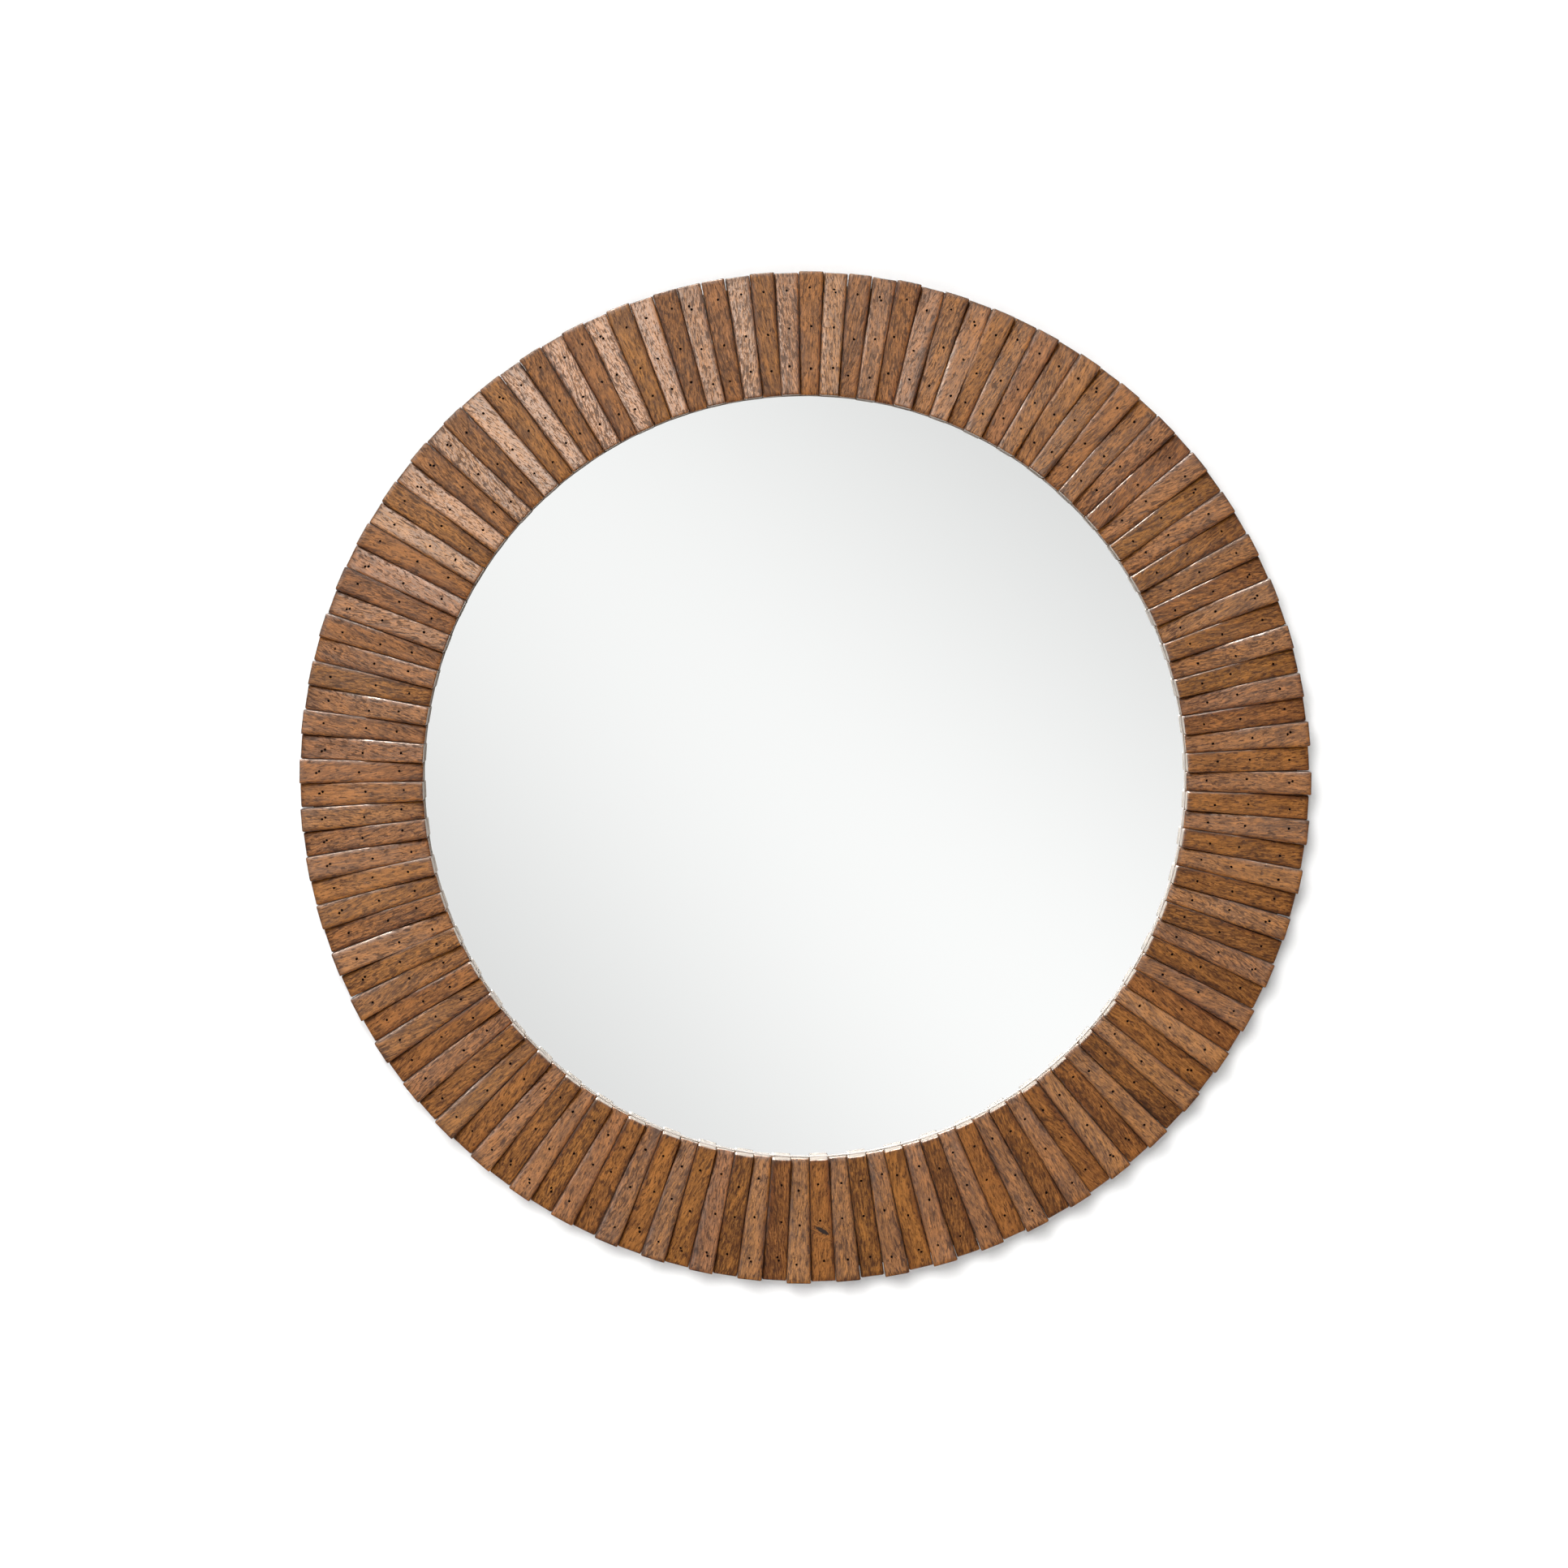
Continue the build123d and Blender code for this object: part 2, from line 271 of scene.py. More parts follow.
def stained_wood():
    """Brown-stained old wood: each slat its own tone, with figure, pores, dark edges and nail pits. The soft
    darkening near the edges is stain gathered there and painted shade where the slats meet, and the
    near-black in the nail pits is painted shade.
    """
    material, tree = new_material("stained_wood")
    grain = attribute(tree, "grain", "Vector")
    across, depth, along = split(tree, attribute(tree, "slat_place", "Vector"))
    number = attribute(tree, "slat_number", "Fac")
    pit = attribute(tree, "pit", "Fac")
    own = step(tree, "ShaderNodeTexWhiteNoise", {"W": number}, out="Color", noise_dimensions="1D")
    tone, redness, coarseness = split(tree, own)

    knot, swirl = knot_marks(tree, across, along, number)
    grain = vector_calc(tree, "ADD", grain, swirl)
    figure = noise(tree, stretched(tree, grain, 1.0, 1.0, 0.14), 130.0, 4.0, 0.62, 0.4)
    mottle = noise(tree, stretched(tree, grain, 1.0, 1.0, 0.4), 380.0, 3.0, 0.65, 0.3)
    fibre = noise(tree, stretched(tree, grain, 1.0, 1.0, 0.09), 640.0, 4.0, 0.75)
    coarse_pores = noise(tree, stretched(tree, grain, 1.0, 1.0, 0.22), 640.0, 2.0, 0.5)
    fine_pores = noise(tree, stretched(tree, grain, 1.0, 1.0, 0.2), 1150.0, 2.0, 0.5)
    patches = noise(tree, stretched(tree, grain, 1.0, 1.0, 0.4), 80.0, 2.0, 0.5)
    pore_level = calc(tree, "MULTIPLY_ADD", patches, -0.12, 0.67)
    pore_level = calc(tree, "MULTIPLY_ADD", coarseness, -0.07, pore_level)
    coarse = between(tree, calc(tree, "SUBTRACT", coarse_pores, pore_level), -0.01, 0.04)
    fine = between(tree, calc(tree, "SUBTRACT", fine_pores, pore_level), -0.03, 0.03)
    pores = calc(tree, "MAXIMUM", coarse, calc(tree, "MULTIPLY", fine, 0.6))

    shade = calc(tree, "MULTIPLY_ADD", figure, 1.6, -2.5)
    shade = calc(tree, "MULTIPLY_ADD", mottle, 1.0, shade)
    shade = calc(tree, "MULTIPLY_ADD", fibre, 3.2, shade)
    shade = calc(tree, "MULTIPLY_ADD", tone, 0.3, shade)
    shade = calc(tree, "ADD", shade, 0.0, clamp=True)
    light = mix(tree, redness, rgb(0.345, 0.134, 0.022), rgb(0.315, 0.112, 0.026))
    dark = mix(tree, redness, rgb(0.08, 0.026, 0.004), rgb(0.066, 0.02, 0.004))
    body = mix(tree, shade, dark, light)
    body = mix(tree, calc(tree, "MULTIPLY", pores, 0.8), body, rgb(0.04, 0.014, 0.005))

    wander = noise(tree, stretched(tree, grain, 1.0, 1.0, 0.4), 180.0, 4.0, 0.65)
    patchy = noise(tree, stretched(tree, grain, 1.0, 1.0, 0.5), 36.0, 1.0, 0.5)
    gap = edge_gap_mm(tree, across, along)
    # Darker towards each slat's edges and ends: stain gathered there, and painted shade where the slats
    # meet.
    soft_gap = calc(tree, "MULTIPLY_ADD", wander, 3.0, calc(tree, "SUBTRACT", gap, 1.5))
    edge_stain_and_shade = between(tree, soft_gap, 0.0, 5.5, 0.9, 0.0)
    edge_stain_and_shade = calc(tree, "MULTIPLY", edge_stain_and_shade, between(tree, patchy, 0.35, 0.65, 0.35, 1.0))
    gap = calc(tree, "MULTIPLY_ADD", wander, 1.6, calc(tree, "SUBTRACT", gap, 0.8))
    rim = between(tree, gap, 0.0, 0.9, 1.0, 0.0)
    below = between(tree, depth, 0.3, 1.4)
    burnish = calc(tree, "MAXIMUM", calc(tree, "MULTIPLY", rim, 0.6), below)
    edge_stained_and_shaded = mix(tree, 1.0, body, rgb(0.42, 0.32, 0.30), "MULTIPLY")
    body = mix(tree, edge_stain_and_shade, body, edge_stained_and_shaded)
    burnished = mix(tree, 1.0, body, rgb(0.32, 0.28, 0.30), "MULTIPLY")
    body = mix(tree, calc(tree, "MULTIPLY", burnish, 0.8), body, burnished)
    body = mix(tree, knot, body, rgb(0.016, 0.010, 0.008))
    # The nail pits are painted near-black: painted shade in the holes.
    pit_painted_shade = between(tree, pit, 0.02, 0.3)
    body = mix(tree, pit_painted_shade, body, rgb(0.006, 0.003, 0.002))

    relief = calc(tree, "MULTIPLY_ADD", pores, -1.2, calc(tree, "MULTIPLY", fibre, 0.7))
    relief = calc(tree, "MULTIPLY_ADD", mottle, 0.6, relief)
    rough = calc(tree, "MULTIPLY_ADD", fibre, 0.2, 0.31)
    rough = calc(tree, "MULTIPLY_ADD", pores, 0.12, rough)
    rough = calc(tree, "MULTIPLY_ADD", rim, -0.04, rough)
    polish = calc(tree, "MULTIPLY_ADD", rim, 0.65, 0.15)
    dull = calc(tree, "MAXIMUM", pit_painted_shade, calc(tree, "MULTIPLY", pores, 0.4))
    polish = calc(tree, "MULTIPLY", polish, calc(tree, "SUBTRACT", 1.0, dull))
    finish_surface(tree, {
        "Base Color": body,
        "Roughness": rough,
        "Specular IOR Level": polish,
        "Specular Tint": rgb(1.0, 0.84, 0.72),
        "Normal": bump(tree, relief, 0.2 * mm, 0.5),
    })
    return material


def pale_end_wood():
    """The slats' inner ends: a taupe wash, with the stain run over their edges."""
    material, tree = new_material("pale_end_wood")
    across, depth, along = split(tree, attribute(tree, "slat_place", "Vector"))
    grain = attribute(tree, "grain", "Vector")
    half = slat_half_width(slats_inner_r) / mm
    to_side = calc(tree, "MULTIPLY", calc(tree, "SUBTRACT", 1.0, calc(tree, "ABSOLUTE", across)), half)
    edge = calc(tree, "MINIMUM", to_side, depth)
    blotch = noise(tree, grain, 500.0, 4.0, 0.6)
    edge = calc(tree, "MULTIPLY_ADD", blotch, 1.0, calc(tree, "SUBTRACT", edge, 0.5))
    run = between(tree, edge, 0.2, 0.9, 1.0, 0.0)
    wash = mix(tree, blotch, rgb(0.13, 0.108, 0.09), rgb(0.21, 0.185, 0.16))
    body = mix(tree, run, wash, rgb(0.05, 0.03, 0.02))
    finish_surface(tree, {
        "Base Color": body,
        "Roughness": calc(tree, "MULTIPLY_ADD", blotch, 0.2, 0.7),
        "Specular IOR Level": 0.03,
        "Normal": bump(tree, blotch, 0.1 * mm, 0.4),
    })
    return material


def silvered_glass():
    """A mirror: bright at the front, green at its rim and grey paint at its back."""
    material, tree = new_material("silvered_glass")
    place = object_place(tree)
    x, y, z = split(tree, place)
    haze = noise(tree, place, 9.0, 3.0, 0.5)
    front = between(tree, y, glass_front_y + 0.05 * mm, glass_front_y + 0.15 * mm, 1.0, 0.0)
    back = between(tree, y, glass_back_y - 0.15 * mm, glass_back_y - 0.05 * mm)
    speckle = noise(tree, place, 700.0, 3.0, 0.6)
    rim_green = mix(tree, speckle, rgb(0.09, 0.20, 0.15), rgb(0.16, 0.30, 0.24))
    paint = mix(tree, speckle, rgb(0.16, 0.17, 0.18), rgb(0.24, 0.25, 0.26))
    body = mix(tree, back, rim_green, paint)
    body = mix(tree, front, body, rgb(0.955, 0.965, 0.958))
    rough = calc(tree, "MULTIPLY_ADD", haze, 0.004, 0.002)
    rough = calc(tree, "ADD", rough, calc(tree, "MULTIPLY", back, 0.5))
    finish_surface(tree, {"Base Color": body, "Metallic": front, "Roughness": rough})
    return material


def fibreboard():
    """The carrier ring: sealed brown fibreboard, its rim stained and its lip washed taupe, with painted
    shade where the lip meets the glass.
    """
    material, tree = new_material("sealed_fibreboard")
    place = object_place(tree)
    x, y, z = split(tree, place)
    radius = step(tree, "ShaderNodeVectorMath", {0: stretched(tree, place, 1.0, 0.0, 1.0)},
                  out="Value", operation="LENGTH")
    flecks = noise(tree, place, 330.0, 6.0, 0.8)
    clouds = noise(tree, place, 18.0, 5.0, 0.7)
    layers = noise(tree, stretched(tree, place, 0.15, 1.0, 0.15), 1500.0, 2.0, 0.5)
    board = mix(tree, between(tree, flecks, 0.36, 0.64), rgb(0.15, 0.085, 0.042), rgb(0.40, 0.27, 0.165))
    cloud_share = calc(tree, "MULTIPLY", between(tree, clouds, 0.35, 0.7), 0.55)
    board = mix(tree, cloud_share, board, rgb(0.12, 0.07, 0.04))
    outer = between(tree, radius, carrier_outer_r - 1.2 * mm, carrier_outer_r - 0.4 * mm)
    stain = mix(tree, layers, rgb(0.06, 0.03, 0.014), rgb(0.13, 0.07, 0.035))
    board = mix(tree, outer, board, stain)
    wash = mix(tree, flecks, rgb(0.09, 0.072, 0.06), rgb(0.15, 0.127, 0.108))
    lip = between(tree, radius, slats_inner_r + 0.1 * mm, slats_inner_r + 0.4 * mm, 1.0, 0.0)
    # A thin dark line where the lip meets the glass: painted shade in that crease.
    glass_crease_shade = between(tree, calc(tree, "SUBTRACT", glass_front_y, y), 0.3 * mm, 0.7 * mm)
    wash = mix(tree, glass_crease_shade, rgb(0.05, 0.03, 0.02), wash)
    board = mix(tree, lip, board, wash)
    finish_surface(tree, {
        "Base Color": board,
        "Roughness": calc(tree, "MULTIPLY_ADD", flecks, 0.3, 0.6),
        "Specular IOR Level": 0.1,
        "Normal": bump(tree, flecks, 0.15 * mm, 0.6),
    })
    return material


def hardboard():
    """The backing board: dark pressed fibre with the woven print of its screen."""
    material, tree = new_material("pressed_hardboard")
    place = object_place(tree)
    x, y, z = split(tree, place)
    across = calc(tree, "SINE", calc(tree, "MULTIPLY", x, 2 * math.pi / screen_pitch))
    upward = calc(tree, "SINE", calc(tree, "MULTIPLY", z, 2 * math.pi / screen_pitch))
    weave = calc(tree, "MULTIPLY", across, upward)
    fibres = noise(tree, place, 260.0, 7.0, 0.8, 0.6)
    clouds = noise(tree, place, 9.0, 5.0, 0.7)
    body = mix(tree, between(tree, fibres, 0.35, 0.65), rgb(0.085, 0.042, 0.021), rgb(0.26, 0.145, 0.08))
    cloud_share = calc(tree, "MULTIPLY", between(tree, clouds, 0.35, 0.7), 0.5)
    body = mix(tree, cloud_share, body, rgb(0.19, 0.11, 0.065))
    dip = calc(tree, "MULTIPLY_ADD", weave, 0.12, 0.88)
    dip = step(tree, "ShaderNodeCombineXYZ", {0: dip, 1: dip, 2: dip})
    body = mix(tree, 1.0, body, dip, "MULTIPLY")
    relief = calc(tree, "MULTIPLY_ADD", fibres, 0.6, calc(tree, "MULTIPLY", weave, 0.5))
    finish_surface(tree, {
        "Base Color": body,
        "Roughness": calc(tree, "MULTIPLY_ADD", fibres, 0.25, 0.55),
        "Normal": bump(tree, relief, 0.25 * mm, 0.7),
    })
    return material


def grey_card():
    """The spacer sheet: recycled card with fibres in it."""
    material, tree = new_material("recycled_card")
    place = object_place(tree)
    fibres = noise(tree, place, 700.0, 6.0, 0.75, 1.2)
    body = mix(tree, fibres, rgb(0.36, 0.26, 0.16), rgb(0.60, 0.47, 0.32))
    finish_surface(tree, {
        "Base Color": body,
        "Roughness": calc(tree, "MULTIPLY_ADD", fibres, 0.2, 0.7),
        "Normal": bump(tree, fibres, 0.1 * mm, 0.5),
    })
    return material


def plated_steel(name, dull, bright, roughness):
    """Plated steel: faint rolling marks, dulled in places."""
    material, tree = new_material(name)
    place = object_place(tree)
    marks = noise(tree, stretched(tree, place, 1.0, 1.0, 0.06), 2600.0, 3.0, 0.6)
    clouds = noise(tree, place, 180.0, 4.0, 0.6)
    body = mix(tree, clouds, dull, bright)
    rough = calc(tree, "MULTIPLY_ADD", clouds, 0.22, roughness)
    rough = calc(tree, "MULTIPLY_ADD", marks, 0.08, rough)
    finish_surface(tree, {
        "Base Color": body,
        "Metallic": 1.0,
        "Roughness": rough,
        "Normal": bump(tree, marks, 0.03 * mm, 0.4),
    })
    return material


def soft_rubber():
    """Black rubber with a dusty bloom."""
    material, tree = new_material("soft_rubber")
    place = object_place(tree)
    dust = noise(tree, place, 420.0, 5.0, 0.7)
    body = mix(tree, dust, rgb(0.018, 0.018, 0.019), rgb(0.065, 0.062, 0.058))
    finish_surface(tree, {
        "Base Color": body,
        "Roughness": calc(tree, "MULTIPLY_ADD", dust, 0.25, 0.55),
        "Normal": bump(tree, dust, 0.08 * mm, 0.5),
    })
    return material


def plain_white(name, see_through_behind):
    """The wall and the floor. The wall isn't seen from behind."""
    material, tree = new_material(name)
    shader = step(tree, "ShaderNodeBsdfDiffuse", {"Color": rgb(0.95, 0.95, 0.95)})
    if see_through_behind:
        behind = step(tree, "ShaderNodeNewGeometry", out="Backfacing")
        clear = step(tree, "ShaderNodeBsdfTransparent")
        shader = step(tree, "ShaderNodeMixShader", {0: behind, 1: shader, 2: clear})
    step(tree, "ShaderNodeOutputMaterial", {"Surface": shader})
    return material


# Mesh makers

def link(name, mesh):
    """A new object of the scene."""
    made = bpy.data.objects.new(name, mesh)
    scene.collection.objects.link(made)
    return made


def give_material(obj, material):
    """Put one material on every slot of an object."""
    obj.data.materials.clear()
    obj.data.materials.append(material)


def slat_half_width(radius):
    """Half a slat's width at a radius."""
    return radius * math.tan(slat_pitch / 2) - joint_gap / 2


def mesh_lines(length, cells):
    """Where a slat's mesh lines lie along one side: close together on the worn arrises."""
    near = [0.0, arris_r / 2, arris_r]
    inside = length - 2 * arris_r
    middle = [arris_r + inside * i / cells for i in range(1, cells)]
    return near + middle + [length - d for d in reversed(near)]


def rounded(point, low, high):
    """A point of a box's surface, moved onto the box with round arrises."""
    core = Vector([min(max(p, a), b) for p, a, b in zip(point, low, high)])
    out = Vector(point) - core
    if out.length == 0:
        return core
    return core + out * (arris_r / out.length)


def wedge_bmesh(outer_height, inner_height):
    """A worn wedge slat at 12 o'clock, closed, with round arrises at its front."""
    across_cells, along_cells, deep_cells = 7, 36, 3
    width = slat_half_width(slats_inner_r) + slat_half_width(slats_outer_r)
    height = (slat_thick_end + slat_thin_end) / 2
    across = mesh_lines(width, across_cells)
    along = mesh_lines(slat_length, along_cells)
    deep = [0.0, arris_r / 2, arris_r]
    deep += [arris_r + (height - arris_r) * i / deep_cells for i in range(1, deep_cells + 1)]
    low = (arris_r, arris_r, arris_r)
    high = (width - arris_r, height, slat_length - arris_r)
    solid = bmesh.new()
    made = {}

    def vertex(i, k, j):
        """The vertex at line i across, k deep and j along."""
        if (i, k, j) not in made:
            a, c, b = rounded((across[i], deep[k], along[j]), low, high)
            half = slat_half_width(slats_inner_r + b)
            side = -1 if a < width / 2 else 1
            from_side = min(a, width - a)
            share = (from_side - arris_r) / (width / 2 - arris_r)
            inward = from_side if from_side < arris_r else arris_r + share * (half - arris_r)
            here = inner_height + (outer_height - inner_height) * b / slat_length
            share = (c - arris_r) / (height - arris_r)
            down = c if c < arris_r else arris_r + share * (here - arris_r)
            place = (side * (half - inward), carrier_front_y - here + down, slats_inner_r + b)
            made[(i, k, j)] = solid.verts.new(place)
        return made[(i, k, j)]

    i_end, k_end, j_end = len(across) - 1, len(deep) - 1, len(along) - 1
    for i in range(i_end):
        for j in range(j_end):
            solid.faces.new([vertex(i + a, 0, j + b) for a, b in ((0, 0), (1, 0), (1, 1), (0, 1))])
    for k in range(k_end):
        for j in range(j_end):
            for i in (0, i_end):
                solid.faces.new([vertex(i, k + a, j + b) for a, b in ((0, 0), (1, 0), (1, 1), (0, 1))])
        for i in range(i_end):
            for j in (0, j_end):
                solid.faces.new([vertex(i + a, k + b, j) for a, b in ((0, 0), (1, 0), (1, 1), (0, 1))])
    loop = [vertex(i, k_end, 0) for i in range(i_end)]
    loop += [vertex(i_end, k_end, j) for j in range(j_end)]
    loop += [vertex(i, k_end, j_end) for i in range(i_end, 0, -1)]
    loop += [vertex(0, k_end, j) for j in range(j_end, 0, -1)]
    solid.faces.new(loop)
    bmesh.ops.recalc_face_normals(solid, faces=solid.faces)
    return solid


def face_y(outer_height, inner_height, z):
    """How far forward a slat's face stands at a height on the ring."""
    share = (z - slats_inner_r) / slat_length
    return carrier_front_y - inner_height - (outer_height - inner_height) * share


def pit_cutter(outer_height, inner_height, places):
    """Blunt cones that cut the nail pits, each at its share from the outer end and its offset."""
    cutter = bmesh.new()
    for share, offset in places:
        z = slats_outer_r - share * slat_length
        y = face_y(outer_height, inner_height, z) + nail_pit_depth / 2 - nail_pit_overshoot / 2
        turn = Matrix.Rotation(math.radians(-90), 4, "X")
        move = Matrix.Translation((offset, y, z))
        bmesh.ops.create_cone(
            cutter, cap_ends=True, segments=nail_pit_sides,
            radius1=nail_pit_r * 0.6, radius2=nail_pit_r * 1.05,
            depth=nail_pit_depth + nail_pit_overshoot, matrix=move @ turn @ Matrix.Rotation(math.pi, 4, "X"))
    mesh = bpy.data.meshes.new("pit_cutter")
    cutter.to_mesh(mesh)
    cutter.free()
    return link("pit_cutter", mesh)


def store_on_mesh(mesh, name, kind, domain, field, values):
    """Add one attribute to a mesh and fill it."""
    layer = mesh.attributes.new(name, kind, domain)
    layer.data.foreach_set(field, values)


def mark_slat(mesh, outer_height, inner_height):
    """Store each vertex's place on its slat, the nail pits' vertices and the inner end's faces."""
    places, pits = [], []
    for v in mesh.vertices:
        x, y, z = v.co
        half = slat_half_width(z)
        depth = y - face_y(outer_height, inner_height, z)
        places += [x / half, max(depth, 0) / mm, (z - slats_inner_r) / slat_length]
        inside = min(half - abs(x), z - slats_inner_r, slats_outer_r - z) > arris_r * 1.3
        sunk = nail_pit_margin < depth < nail_pit_depth + nail_pit_margin
        pits.append(1.0 if inside and sunk else 0.0)
    ends = [f.center.z < slats_inner_r + 0.2 * mm and f.normal.z < -0.9 for f in mesh.polygons]
    store_on_mesh(mesh, "slat_place", "FLOAT_VECTOR", "POINT", "vector", places)
    store_on_mesh(mesh, "pit", "FLOAT", "POINT", "value", pits)
    store_on_mesh(mesh, "inner_end", "BOOLEAN", "FACE", "value", ends)


def base_slat(name, outer_height, inner_height, pit_places):
    """One slat to copy, with its nail pits cut."""
    mesh = bpy.data.meshes.new(name)
    solid = wedge_bmesh(outer_height, inner_height)
    solid.to_mesh(mesh)
    solid.free()
    slat = link(name, mesh)
    cutter = pit_cutter(outer_height, inner_height, pit_places)
    cut = slat.modifiers.new("pits", "BOOLEAN")
    cut.object = cutter
    cut.operation = "DIFFERENCE"
    cut.solver = "EXACT"
    graph = bpy.context.evaluated_depsgraph_get()
    cut_mesh = bpy.data.meshes.new_from_object(slat.evaluated_get(graph))
    slat.modifiers.clear()
    slat.data = cut_mesh
    bpy.data.objects.remove(cutter)
    mark_slat(cut_mesh, outer_height, inner_height)
    return slat


def grow(name, tree, values):
    """The plain mesh object that a tree makes with these inputs."""
    maker = link(name + "_maker", bpy.data.meshes.new(name + "_maker"))
    modifier = maker.modifiers.new("tree", "NODES")
    modifier.node_group = tree
    for item in tree.interface.items_tree:
        if item.item_type == "SOCKET" and item.in_out == "INPUT" and item.name in values:
            modifier[item.identifier] = values[item.name]
    graph = bpy.context.evaluated_depsgraph_get()
    mesh = bpy.data.meshes.new_from_object(maker.evaluated_get(graph))
    bpy.data.objects.remove(maker)
    return link(name, mesh)


def new_geometry_tree(name, inputs):
    """A geometry tree with named inputs, and its group input's sockets by name."""
    tree = bpy.data.node_groups.new(name, "GeometryNodeTree")
    tree.interface.new_socket("Geometry", in_out="OUTPUT", socket_type="NodeSocketGeometry")
    for label, kind in inputs:
        tree.interface.new_socket(label, in_out="INPUT", socket_type="NodeSocket" + kind)
    entry = tree.nodes.new("NodeGroupInput")
    return tree, {label: entry.outputs[label] for label, kind in inputs}


def stored(tree, geometry, name, value, data_type, domain="POINT"):
    """A geometry with one more named attribute."""
    return step(tree, "GeometryNodeStoreNamedAttribute",
                {"Geometry": geometry, "Name": name, "Value": value}, data_type=data_type, domain=domain)


def named(tree, name, data_type):
    """A named attribute of the geometry."""
    return step(tree, "GeometryNodeInputNamedAttribute", {"Name": name}, out="Attribute",
                data_type=data_type)


def random_number(tree, number, seed, low=0.0, high=1.0):
    """A random number that is the same all over one slat."""
    return step(tree, "FunctionNodeRandomValue", {"Min": low, "Max": high, "ID": number, "Seed": seed},
                out="Value", data_type="FLOAT")


def slat_offset(tree, local, number, seed):
    """How far each point of a slat moves: worn arrises, uneven height and length, wandering nails."""
    across, depth, along = split(tree, named(tree, "slat_place", "FLOAT_VECTOR"))
    whole = step(tree, "FunctionNodeFloatToInt", {0: number})
    side = calc(tree, "SIGN", across)
    side_share = calc(tree, "ABSOLUTE", across)
    near_face = between(tree, depth, 0.0, 5.0, 1.0, 0.0)
    middle = calc(tree, "SUBTRACT", 1.0, calc(tree, "POWER", side_share, 4.0))
    from_ends = calc(tree, "MULTIPLY", along, calc(tree, "SUBTRACT", 1.0, along))
    from_ends = calc(tree, "MULTIPLY", from_ends, 4.0)

    own_place = vector_calc(tree, "ADD", local, step(tree, "ShaderNodeCombineXYZ", {1: number}))
    sway = calc(tree, "SUBTRACT", noise(tree, own_place, 14.0, 0.0), 0.5)
    elsewhere = vector_calc(tree, "ADD", own_place, (3.3, 0.4, 1.7))
    drift = calc(tree, "SUBTRACT", noise(tree, elsewhere, 9.0, 0.0), 0.5)
    sway_x = calc(tree, "MULTIPLY", calc(tree, "MULTIPLY", sway, sway_range), middle)
    drift_z = calc(tree, "MULTIPLY", calc(tree, "MULTIPLY", drift, drift_range), from_ends)

    chips = noise(tree, own_place, 130.0, 3.0, 0.6)
    wear = between(tree, chips, 0.5, 0.75, 0.0, arris_wear)
    on_arris = calc(tree, "MULTIPLY", calc(tree, "POWER", side_share, 8.0),
                    between(tree, depth, 0.0, 3.0, 1.0, 0.0))
    inwards = calc(tree, "MULTIPLY", side, -1.0)
    wear_x = calc(tree, "MULTIPLY", calc(tree, "MULTIPLY", wear, on_arris), inwards)
    # Most slats draw less than nothing here, so that only a few stand apart from the next one
    gap = random_number(tree, whole, seed, -5.0 * mm, widest_gap)
    gap = calc(tree, "MAXIMUM", gap, 0.0)
    gap_x = calc(tree, "MULTIPLY", calc(tree, "MULTIPLY", across, gap),
                 calc(tree, "MULTIPLY", calc(tree, "POWER", along, 2.0), -1.0))

    length = random_number(tree, whole, calc(tree, "ADD", seed, 1), -length_range, 0.0)
    length_z = calc(tree, "MULTIPLY", calc(tree, "MAXIMUM", calc(tree, "SUBTRACT", along, 0.5), 0.0),
                    calc(tree, "MULTIPLY", length, 2.0))
    inner = random_number(tree, whole, calc(tree, "ADD", seed, 2), 0.0, inner_range)
    inner_z = calc(tree, "MULTIPLY", calc(tree, "MAXIMUM", calc(tree, "SUBTRACT", 0.5, along), 0.0),
                   calc(tree, "MULTIPLY", inner, 2.0))

    sink = random_number(tree, whole, calc(tree, "ADD", seed, 3), 0.0, sink_range)
    lean = random_number(tree, whole, calc(tree, "ADD", seed, 4), -lean_range, lean_range)
    lean = calc(tree, "MULTIPLY", lean, across)
    swell = calc(tree, "SUBTRACT", noise(tree, own_place, 60.0, 2.0), 0.5)
    swell = calc(tree, "MULTIPLY", swell, swell_range)
    corner = calc(tree, "MULTIPLY", wear, on_arris)
    down = calc(tree, "ADD", calc(tree, "ADD", calc(tree, "ADD", sink, lean), swell),
                calc(tree, "MULTIPLY", corner, 0.6))
    down = calc(tree, "MULTIPLY", down, near_face)

    move_x = calc(tree, "ADD", calc(tree, "ADD", sway_x, wear_x), gap_x)
    move_z = calc(tree, "ADD", calc(tree, "ADD", drift_z, length_z), inner_z)
    return step(tree, "ShaderNodeCombineXYZ", {0: move_x, 1: down, 2: move_z})


